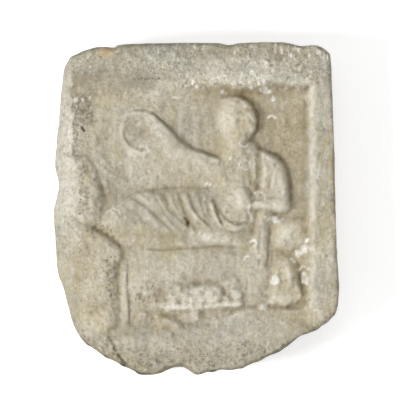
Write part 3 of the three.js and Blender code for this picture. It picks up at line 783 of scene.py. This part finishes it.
outer = np.interp(z, *reversed(np.transpose(LEFT_SIDE)))
ridge = np.interp(z, *reversed(np.transpose(BREAK_RIDGE))) + 1.2 * grain(14, 10)
across = np.maximum(x - outer, 0)
steep = np.clip(across / np.maximum(ridge - outer, LEAST_WIDTH), 0, 1)
gentle = np.clip(across / np.maximum(ridge + GENTLE_WIDTH - outer, LEAST_WIDTH), 0, 1)
sharp_part = rise(z, 40, 12)
slope = steep**BREAK_POWER * sharp_part + (1 - (1 - gentle) ** 2) * (1 - sharp_part)
broken = 1 - rise(steep, SHARP_SHARE, 0.07)
surface = BREAK_LEVEL + (surface - BREAK_LEVEL) * slope
surface = surface + broken * rough((0.7, 15, 9), (0.25, 16, 4)) * smooth(across / 4)
# The broken slope takes a pale fresh stone colour, made paler still as painted light on the side that
# faces the lamp
low_fresh = (1 - rise(gentle, 0.35, 0.55)) * (0.03 + 0.8 * rise(z, -48, 60))
fresh = broken * sharp_part + low_fresh * (1 - sharp_part)


# Masks of stains and traces, and of darker strips along the bottom and right edges

brown = strongest(
    boxes=[
        (0.8, (60, 30), (112, 112), 30), (0.9, (-8, 106), (112, 128), 12),
        (0.8, (104, 40), (113, 122), 6), (0.15, (-112, -82), (-78, -16), 12),
        (0.5, (-124, 110), (-98, 134), 5), (0.4, (-100, 108), (-66, 120), 8),
        (0.6, (30, 150), (130, 166), 8), (0.6, (-77, -119), (-65, -78), 5),
    ],
    ovals=[
        (0.9, (-13, -3), (5, 18), 22), (0.8, (-5, -19), (7, 4)), (1, (92, -49), (15, 4)),
        (0.9, (108, -21), (6, 8)), (0.6, (79, -18), (5, 6)), (0.7, (84, -62), (4, 10)),
        (0.75, (50, 98), (9, 10), -40), (0.7, (-57, -36), (4, 4.5)), (0.6, (-112, 40), (8, 11)),
    ],
    shares=[
        0.9 * line_share([(-110, -20), (-103, -24), (-89, -35), (-80, -44), (-78, -60)], 5),
        # Darker along the bottom and right edges
        0.7 * left_hollow, 0.9 * edge_share(BOTTOM_SIDE, 4), 0.8 * edge_share(RIGHT_SIDE, 7),
    ],
)
bare = strongest(
    boxes=[
        (0.4, (0, 127), (100, 149), 12), (0.11, (-70, 24), (28, 66), 16),
        (0.13, (-62, -74), (60, -42), 10),
    ],
    ovals=[
        (1, (14, -29), (14, 5)), (1, (43, 9), (10, 13)), (1, (74, 3), (16, 6)),
        (0.6, (12, -88), (17, 11)), (0.8, (-84, -111), (12, 13)), (1, (92, -23), (8, 14), -35),
        (0.9, (94.5, -65), (5, 11)), (0.9, (32, 93), (9, 14)), (0.5, (-96, -66), (10, 26)),
        (0.5, (79, 30), (10, 20)), (0.5, (-98, -118), (16, 12)), (0.7, (86, -90), (12, 7)),
    ],
    shares=[0.9 * line_share([(-38, -98), (0, -98), (46, -96)], 3)],
)
grime_and_dark_rim = strongest(
    boxes=[
        (1.8, (-126, 110), (-99, 134), 5), (1.1, (-126, 116), (-40, 166), 14),
        (1.5, (-84, 148), (-8, 168), 10), (0.5, (-126, 82), (-102, 112), 8),
        (0.8, (-75, -28), (24, 20), 20), (0.35, (-146, -132), (-116, -36), 16),
    ],
    shares=[
        (0.35 + 0.35 * fall(x, 50, 110)) * rise(z, 112, 20),
        # Darker along the bottom edge
        1.4 * edge_share(BOTTOM_SIDE, 3), 0.4 * fall(z, -104, 14),
    ],
    least=0.12,
)
ochre = strongest(ovals=[(1, (-91, 156), (7, 4)), (0.13, (-30, -117), (17, 7))])
flecked = strongest(
    boxes=[(0.8, (-126, 84), (-104, 111), 6)],
    shares=[
        rise(z, 116, 8) * rise(x, -70, 60),
        0.35 * rise(x, 114, 5),
    ],
)
yellowed = strongest(
    boxes=[
        (0.8, (-112, -126), (-76, -16), 16), (0.35, (-128, 104), (-50, 170), 16),
        (0.7, (74, -100), (114, -8), 12), (0.5, (-140, -130), (-110, -30), 16),
    ],
    ovals=[(1.1, (40, 86), (22, 26)), (0.4, (60, 20), (34, 34)), (0.9, (-109, 34), (6, 15))],
)
crusty = strongest(
    boxes=[
        (1, (-150, 30), (-118, 160), 6), (0.9, (-128, 108), (-60, 170), 12),
        (0.5, (16, 50), (64, 112), 12),
    ],
    shares=[crust, 0.5 * rise(x, 112, 6)],
)
russet = strongest(ovals=[
    (1, (-37, -83), (2.6, 7)), (0.7, (-46, -80), (6, 5)), (0.9, (-53, -105), (5, 4)),
    (0.3, (-36, -117), (9, 5)),
])
# Darker along the bottom edge, and stains along the top edge; this darkening joins the pits
rim_darkening = 0.5 * edge_share(BOTTOM_SIDE, 3) + 0.35 * edge_share(TOP_SIDE, 3)
pitted_and_dark_rim = np.clip(0.6 * pits + 2 * gash + crack + rim_darkening * patchy(0.6, 0.5, 63, 6), 0, 1)

MASKS = dict(
    rained_on=np.ones(grid_shape), brown=brown, crevice=crevice, high=high, bare=bare, sunk=sunk,
    proud=proud, fresh=fresh, lime=lime, speckled=speckled, grime_and_dark_rim=grime_and_dark_rim, pitted_and_dark_rim=pitted_and_dark_rim, rust=drill_hole,
    ochre=ochre, flecked=flecked, yellowed=yellowed, crusty=crusty, russet=russet,
)
# Masks that the sides and the back have too, evenly
EVEN_SHARES = dict(speckled=0.3, grime_and_dark_rim=0.3, crusty=0.3)


# Mesh: face, sides and back in one closed skin
SHARP_ANGLE = 50

# Sides: narrower and calmer to the back, and rough (height, seed, wavelength)
BACK_SHARE = 0.985
CELL = 1.11
SIDE_CELLS = 6
SIDE_ROUGHNESS = ((0.6, 21, 22), (0.35, 22, 9), (0.15, 23, 4))
SIDE_LIMITS = (-2, 1)
CALM_PASSES = 60
CALM_SPEED = 4

# Back: sunk a little below its rim, with slow bumps
BUMP_LENGTH = 55
BUMP_HEIGHT = 0.9
BACK_SINK = 0.7
BACK_RIM_SHARE = 0.05

# Places in the layout for baking
FACE_CORNER, FACE_SIZE = (0.01, 0.03), (0.79, 0.93)
SIDE_CORNER, SIDE_SIZE = (0.82, 0.25), (0.16, 0.72)
BACK_MIDDLE, BACK_SCALE = (0.9, 0.12), 0.0005


def side_levels(rim):
    """Rings of points from just below the face's rim to the back."""
    count = len(rim)
    ahead = np.roll(rim, -1, 0) - np.roll(rim, 1, 0)
    outward = np.stack([ahead[:, 2], np.zeros(count), -ahead[:, 0]], 1)
    outward /= np.linalg.norm(outward, axis=1)[:, None]
    field = (SIDE_ROWS * SIDE_CELLS, count)
    sheets = [height * noise_sheet(seed, length / CELL, field) for height, seed, length in SIDE_ROUGHNESS]
    bulges = np.clip(sum(sheets)[::SIDE_CELLS], *SIDE_LIMITS)
    calm = rim.copy()
    for _ in range(CALM_PASSES):
        calm = (np.roll(calm, 1, 0) + 2 * calm + np.roll(calm, -1, 0)) / 4
    levels = []
    for row in range(SIDE_ROWS):
        share = (row + 1) / SIDE_ROWS
        narrower = 1 - share * (1 - BACK_SHARE)
        level = (rim + (calm - rim) * smooth(CALM_SPEED * share)) * [narrower, 1 - share, narrower]
        levels.append(level + outward * (math.sin(math.pi * share) ** 0.5 * bulges[row])[:, None])
    return levels


def back_levels(back_rim):
    """Rings of points from the back's rim towards its middle."""
    levels = []
    for share in BACK_RINGS:
        level = back_rim * share
        places = [Vector((a / BUMP_LENGTH, b / BUMP_LENGTH, 3.0)) for a, _, b in level]
        bumps = np.array([noise.fractal(place, 0.8, 2.0, 2) for place in places])
        level[:, 1] = np.minimum(BUMP_HEIGHT * bumps - BACK_SINK, 0) * min(1, (1 - share) / BACK_RIM_SHARE)
        levels.append(level)
    return levels


def band(start, end):
    """Faces between two rings of points."""
    return np.stack([start, end, np.roll(end, -1), np.roll(start, -1)], 1)


def face_layout(quads):
    across, up = np.meshgrid(np.linspace(0, 1, COLUMNS + 1), np.linspace(0, 1, ROWS + 1))
    return (FACE_CORNER + np.array(FACE_SIZE) * np.stack([across.ravel(), up.ravel()], 1))[quads]


def side_layout(row, count):
    near, far = SIDE_CORNER[0] + SIDE_SIZE[0] * np.array([row, row + 1]) / SIDE_ROWS
    along = SIDE_CORNER[1] + SIDE_SIZE[1] * np.arange(count + 1) / count
    corners = [(near, along[:-1]), (far, along[:-1]), (far, along[1:]), (near, along[1:])]
    return np.stack([np.stack([np.full(count, across), up], 1) for across, up in corners], 1)


def back_layout(corners):
    across = BACK_MIDDLE[0] - BACK_SCALE * corners[..., 0]
    return np.stack([across, BACK_MIDDLE[1] + BACK_SCALE * corners[..., 2]], -1)


def build_mesh():
    number = np.arange((ROWS + 1) * (COLUMNS + 1)).reshape(grid_shape)
    cell_corners = [number[:-1, :-1], number[:-1, 1:], number[1:, 1:], number[1:, :-1]]
    face_quads = np.stack(cell_corners, -1).reshape(-1, 4)
    ring = np.concatenate([number[0, :-1], number[:-1, -1], number[-1, :0:-1], number[:0:-1, 0]])
    count = len(ring)

    front = np.stack([x.ravel(), -surface.ravel(), z.ravel()], 1)
    levels = side_levels(front[ring])
    levels += back_levels(levels[-1])
    points = np.vstack([front, *levels, np.zeros((1, 3))])
    rings = [ring] + [len(front) + count * k + np.arange(count) for k in range(len(levels))]
    bands = [band(start, end) for start, end in zip(rings, rings[1:])]
    fan = np.stack([rings[-1], np.full(count, len(points) - 1), np.roll(rings[-1], -1)], 1)

    mesh = bpy.data.meshes.new("marble_relief")
    mesh.from_pydata(points * MM, [], np.vstack([face_quads, *bands]).tolist() + fan.tolist())
    layout = [face_layout(face_quads), *(side_layout(row, count) for row in range(SIDE_ROWS))]
    layout += [back_layout(points[np.vstack(bands[SIDE_ROWS:])]), back_layout(points[fan])]
    uv = np.concatenate([part.reshape(-1, 2) for part in layout])
    mesh.uv_layers.new(name="OFBake").data.foreach_set("uv", uv.astype(np.float32).ravel())
    mesh.polygons.foreach_set("use_smooth", np.ones(len(mesh.polygons), bool))
    for name, values in MASKS.items():
        elsewhere = np.full(len(points) - len(front), EVEN_SHARES.get(name, 0))
        data = np.concatenate([values.ravel(), elsewhere])
        mesh.attributes.new(name, "FLOAT", "POINT").data.foreach_set("value", data.astype(np.float32))
    mesh.set_sharp_from_angle(angle=math.radians(SHARP_ANGLE))
    return mesh


def placed(name, data):
    thing = bpy.data.objects.new(name, data)
    scene.collection.objects.link(thing)
    return thing


def added_node(tree, kind, values, linked):
    """A new node, with inputs set to values and others linked to sockets."""
    node = tree.nodes.new(kind)
    for key, value in values.items():
        node.inputs[key].default_value = value
    for key, socket in linked.items():
        tree.links.new(socket, node.inputs[key])
    return node


# Stone: colours, and how they lie over each other
STONE_RAMP = (
    (0.35, (0.255, 0.23, 0.17)), (0.45, (0.445, 0.41, 0.315)), (0.54, (0.6, 0.56, 0.45)),
    (0.65, (0.81, 0.775, 0.665)),
)
GREY = (0.31, 0.29, 0.23)
DARK = (0.13, 0.11, 0.075)
SOIL_AND_SHADE = (0.19, 0.15, 0.085)
EARTH = (0.315, 0.245, 0.135)
OLIVE = (0.445, 0.37, 0.2)
CLEAN = (0.74, 0.7, 0.6)
WHITE = (0.83, 0.81, 0.76)
COOL_GREY = (0.49, 0.475, 0.41)
PALE_GREY = (0.49, 0.475, 0.415)
DULL = (0.3, 0.275, 0.205)
PALE = (0.79, 0.755, 0.65)
FRESH_LIT_STONE = (0.675, 0.64, 0.56)
YELLOW = (0.53, 0.445, 0.255)
FLECK = (0.84, 0.815, 0.73)
CRUMB = (0.24, 0.205, 0.14)
FLAKE = (0.84, 0.8, 0.71)
SPECK = (0.08, 0.07, 0.05)
OCHRE = (0.52, 0.33, 0.13)
RUSSET = (0.27, 0.17, 0.1)
RUST = (0.085, 0.045, 0.022)

SLANT = 0.45
SLANT_STRETCH, RUN_STRETCH = 0.4, 0.16
ROUGHNESS_LOW, ROUGHNESS_HIGH = 0.72, 0.92
GRIT_STRENGTH, GRIT_HEIGHT = 0.5, 0.0006


def marble_material():
    material = bpy.data.materials.new("weathered_marble")
    material.use_nodes = True
    tree = material.node_tree
    nodes, links = tree.nodes, tree.links
    shader = nodes["Principled BSDF"]
    coordinates = nodes.new("ShaderNodeTexCoord").outputs["Object"]

    def stretched(turn, scale):
        values = {"Rotation": (0, turn, 0), "Scale": (1, 1, scale)}
        return added_node(tree, "ShaderNodeMapping", values, {"Vector": coordinates}).outputs["Vector"]

    def cloud(scale, detail, roughness, place=coordinates):
        values = {"Scale": scale, "Detail": detail, "Roughness": roughness}
        return added_node(tree, "ShaderNodeTexNoise", values, {"Vector": place}).outputs["Fac"]

    def ranged(value, low, high, to_low, to_high):
        values = {"From Min": low, "From Max": high, "To Min": to_low, "To Max": to_high}
        return added_node(tree, "ShaderNodeMapRange", values, {"Value": value}).outputs["Result"]

    def patch(scale, detail, roughness, begin, full, least, most, place=coordinates):
        """The least share below the value where a cloud begins, and the most where it is full."""
        return ranged(cloud(scale, detail, roughness, place), begin, full, least, most)

    def calculated(operation, values, linked):
        node = added_node(tree, "ShaderNodeMath", values, linked)
        node.operation = operation
        return node.outputs["Value"]

    def veins(scale):
        """Thin wandering lines, where a cloud passes its middle value."""
        offset = calculated("SUBTRACT", {1: 0.5}, {0: cloud(scale, 4, 0.7)})
        return ranged(calculated("ABSOLUTE", {}, {0: offset}), 0.004, 0.022, 1, 0)

    def times(first, second):
        return calculated("MULTIPLY", {}, {0: first, 1: second})

    def mask(name):
        node = nodes.new("ShaderNodeAttribute")
        node.attribute_name = name
        return node.outputs["Fac"]

    def ramp(value, stops):
        node = nodes.new("ShaderNodeValToRGB")
        elements = node.color_ramp.elements
        while len(elements) < len(stops):
            elements.new(0.5)
        for element, (position, colour) in zip(elements, stops):
            element.position = position
            element.color = (*colour, 1)
        links.new(value, node.inputs["Fac"])
        return node.outputs["Color"]

    def over(colour, share, added):
        node = nodes.new("ShaderNodeMix")
        node.data_type = "RGBA"
        links.new(share, node.inputs["Factor"])
        links.new(colour, node.inputs["A"])
        node.inputs["B"].default_value = (*added, 1)
        return node.outputs["Result"]

    slanted = stretched(SLANT, SLANT_STRETCH)
    runs = stretched(0, RUN_STRETCH)
    busy = patch(28, 5, 0.7, 0.4, 0.6, 0.5, 1)
    # Each layer lies over the ones before it, as strong as the product of its shares and named masks
    layers = [
        (OLIVE, patch(10, 5, 0.6, 0.42, 0.6, 0.05, 0.8)),
        (COOL_GREY, patch(26, 8, 0.7, 0.52, 0.68, 0, 0.75)),
        (OLIVE, patch(75, 8, 0.72, 0.52, 0.68, 0, 0.7)),
        (GREY, patch(45, 8, 0.75, 0.52, 0.66, 0, 0.75)),
        (CLEAN, patch(38, 8, 0.78, 0.54, 0.68, 0, 0.75)),
        (PALE_GREY, patch(13, 6, 0.66, 0.5, 0.62, 0, 0.5)),
        (DULL, busy, patch(200, 6, 0.72, 0.5, 0.66, 0, 0.85)),
        (PALE, busy, patch(150, 7, 0.78, 0.53, 0.7, 0, 0.75)),
        (GREY, patch(430, 3, 0.6, 0.5, 0.66, 0, 0.85)),
        (OLIVE, "rained_on", patch(95, 5, 0.65, 0.5, 0.66, 0, 0.42, runs)),
        (CLEAN, "rained_on", patch(130, 5, 0.65, 0.52, 0.68, 0, 0.42, runs)),
        (GREY, veins(70), patch(40, 4, 0.6, 0.46, 0.6, 0, 0.6)),
        (DARK, "grime_and_dark_rim", veins(150), patch(50, 4, 0.6, 0.42, 0.6, 0, 0.9)),
        (GREY, "grime_and_dark_rim", patch(30, 10, 0.75, 0.4, 0.6, 0.1, 0.95)),
        # Earth and painted shade in wide hollows
        (EARTH, "sunk", patch(60, 6, 0.6, 0.3, 0.6, 0.2, 0.7)),
        (EARTH, "brown", patch(45, 6, 0.6, 0.3, 0.65, 0.1, 0.6)),
        # Fresh broken stone, with painted light on the left slope
        (FRESH_LIT_STONE, "fresh", patch(70, 8, 0.7, 0.38, 0.6, 0.25, 0.85)),
        # Worn stone and painted highlight on raised swellings and crests
        (CLEAN, "proud", patch(50, 6, 0.6, 0.3, 0.6, 0.05, 0.5)),
        (CLEAN, "high", patch(80, 6, 0.6, 0.35, 0.6, 0.2, 0.9)),
        (CLEAN, "bare", patch(90, 8, 0.75, 0.33, 0.55, 0.15, 1)),
        (YELLOW, "yellowed", patch(55, 6, 0.7, 0.36, 0.6, 0.08, 0.5)),
        # Soil and painted shade in crevices
        (SOIL_AND_SHADE, "crevice", patch(110, 6, 0.6, 0.25, 0.6, 0.4, 0.95)),
        (FLECK, "flecked", patch(34, 5, 0.7, 0.42, 0.58, 0.1, 1),
         patch(330, 4, 0.6, 0.53, 0.6, 0, 1, slanted)),
        (GREY, "flecked", patch(60, 8, 0.8, 0.53, 0.64, 0, 0.7)),
        (CRUMB, "crusty", patch(42, 7, 0.72, 0.44, 0.58, 0, 1), patch(310, 4, 0.7, 0.53, 0.63, 0, 0.6)),
        (FLAKE, "crusty", patch(36, 7, 0.72, 0.45, 0.6, 0, 1), patch(280, 4, 0.7, 0.54, 0.64, 0, 0.55)),
        (DARK, "speckled", patch(300, 5, 0.85, 0.53, 0.63, 0, 0.8)),
        (SPECK, "speckled", patch(400, 4, 0.75, 0.56, 0.62, 0, 1), patch(55, 5, 0.7, 0.46, 0.6, 0, 0.9)),
        (DARK, "pitted_and_dark_rim"),
        (WHITE, "lime", patch(260, 5, 0.7, 0.36, 0.56, 0.45, 1)),
        (OCHRE, "ochre", patch(150, 6, 0.6, 0.35, 0.6, 0.2, 0.9)),
        (RUSSET, "russet", patch(160, 6, 0.6, 0.35, 0.6, 0.1, 0.8)),
        (RUST, "rust"),
    ]
    colour = ramp(cloud(16, 12, 0.76), STONE_RAMP)
    for added, *shares in layers:
        sockets = [mask(share) if isinstance(share, str) else share for share in shares]
        colour = over(colour, reduce(times, sockets), added)
    links.new(colour, shader.inputs["Base Color"])
    shine = patch(120, 6, 0.6, 0.3, 0.7, ROUGHNESS_LOW, ROUGHNESS_HIGH)
    links.new(shine, shader.inputs["Roughness"])
    grit_values = {"Strength": GRIT_STRENGTH, "Distance": GRIT_HEIGHT}
    grit = added_node(tree, "ShaderNodeBump", grit_values, {"Height": cloud(900, 5, 0.7)})
    links.new(grit.outputs["Normal"], shader.inputs["Normal"])
    return material


plaque = placed("marble_relief", build_mesh())
plaque.data.materials.append(marble_material())
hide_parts("relief_plaque")
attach(plaque, "root")


# Stage, in metres: a pale floor, and a pale wall that is clear from behind
FLOOR_LEVEL = -0.6
STAGE_REACH = 3.0
WALL_GAP = 0.004
FLOOR_COLOUR = (0.85, 0.85, 0.85, 1)
WALL_COLOUR = (0.8, 0.8, 0.8, 1)
GLOW_COLOUR = (1, 1, 1, 1)
WALL_GLOW = 0.46
SHEET_ROUGHNESS = 0.9


def plain_material(name, colour):
    material = bpy.data.materials.new(name)
    material.use_nodes = True
    shader = material.node_tree.nodes["Principled BSDF"]
    shader.inputs["Base Color"].default_value = colour
    shader.inputs["Roughness"].default_value = SHEET_ROUGHNESS
    return material


def wall_material():
    material = plain_material("pale_wall", WALL_COLOUR)
    tree = material.node_tree
    shader = tree.nodes["Principled BSDF"]
    shader.inputs["Emission Color"].default_value = GLOW_COLOUR
    shader.inputs["Emission Strength"].default_value = WALL_GLOW
    behind = tree.nodes.new("ShaderNodeNewGeometry").outputs["Backfacing"]
    clear = tree.nodes.new("ShaderNodeBsdfTransparent").outputs["BSDF"]
    linked = {"Fac": behind, 1: shader.outputs["BSDF"], 2: clear}
    mix = added_node(tree, "ShaderNodeMixShader", {}, linked)
    tree.links.new(mix.outputs["Shader"], tree.nodes["Material Output"].inputs["Surface"])
    return material


def flat_sheet(name, first, second, material):
    """A sheet as wide as the stage, between two edges with a y and a z each."""
    left, right = -STAGE_REACH, STAGE_REACH
    corners = [(left, *first), (right, *first), (right, *second), (left, *second)]
    mesh = bpy.data.meshes.new(name)
    mesh.from_pydata(corners, [], [list(range(len(corners)))])
    sheet = placed(name, mesh)
    mesh.materials.append(material)
    return sheet


floor_edges = (-STAGE_REACH, FLOOR_LEVEL), (STAGE_REACH, FLOOR_LEVEL)
wall_edges = (WALL_GAP, FLOOR_LEVEL), (WALL_GAP, STAGE_REACH)
flat_sheet("pale_floor", *floor_edges, plain_material("pale_floor", FLOOR_COLOUR))
wall = flat_sheet("pale_wall", *wall_edges, wall_material())
wall.visible_shadow = False
wall.visible_diffuse = False


# Light: lamps (name, place, size, power) and a white world
LAMPS = [
    ("key", (-1.75, -1.75, -0.4), 0.6, 42),
    ("fill", (0.3, -2.4, 0.8), 1.6, 14),
    ("back", (0.9, 2.2, 1.1), 1.6, 30),
]
WORLD_LIGHT, WORLD_SEEN = 0.4, 1.0


def area_lamp(name, place, size, power):
    data = bpy.data.lights.new(name, "AREA")
    data.size = size
    data.energy = power
    lamp = placed(name, data)
    lamp.location = place
    lamp.rotation_euler = (-Vector(place)).to_track_quat("-Z", "Y").to_euler()


for lamp_values in LAMPS:
    area_lamp(*lamp_values)

world = bpy.data.worlds.new("studio")
world.use_nodes = True
scene.world = world
sky = world.node_tree
background = sky.nodes["Background"]
background.inputs["Color"].default_value = GLOW_COLOUR
to_camera = sky.nodes.new("ShaderNodeLightPath").outputs["Is Camera Ray"]
strengths = {"To Min": WORLD_LIGHT, "To Max": WORLD_SEEN}
strength = added_node(sky, "ShaderNodeMapRange", strengths, {"Value": to_camera})
sky.links.new(strength.outputs["Result"], background.inputs["Strength"])
scene.view_settings.view_transform = "Standard"


# Camera, straight in front, with the frame's width in metres
LENS = 400
SENSOR_WIDTH = 36
FRAME_WIDTH = 0.4
FRAME_CENTRE = (0.004, 0.008)
FACE_LEVEL = -0.06

camera_data = bpy.data.cameras.new("camera")
camera_data.lens = LENS
camera_data.sensor_width = SENSOR_WIDTH
camera = placed("camera", camera_data)
camera.location = (FRAME_CENTRE[0], FACE_LEVEL - FRAME_WIDTH * LENS / SENSOR_WIDTH, FRAME_CENTRE[1])
camera.rotation_euler = (math.pi / 2, 0, 0)
scene.camera = camera
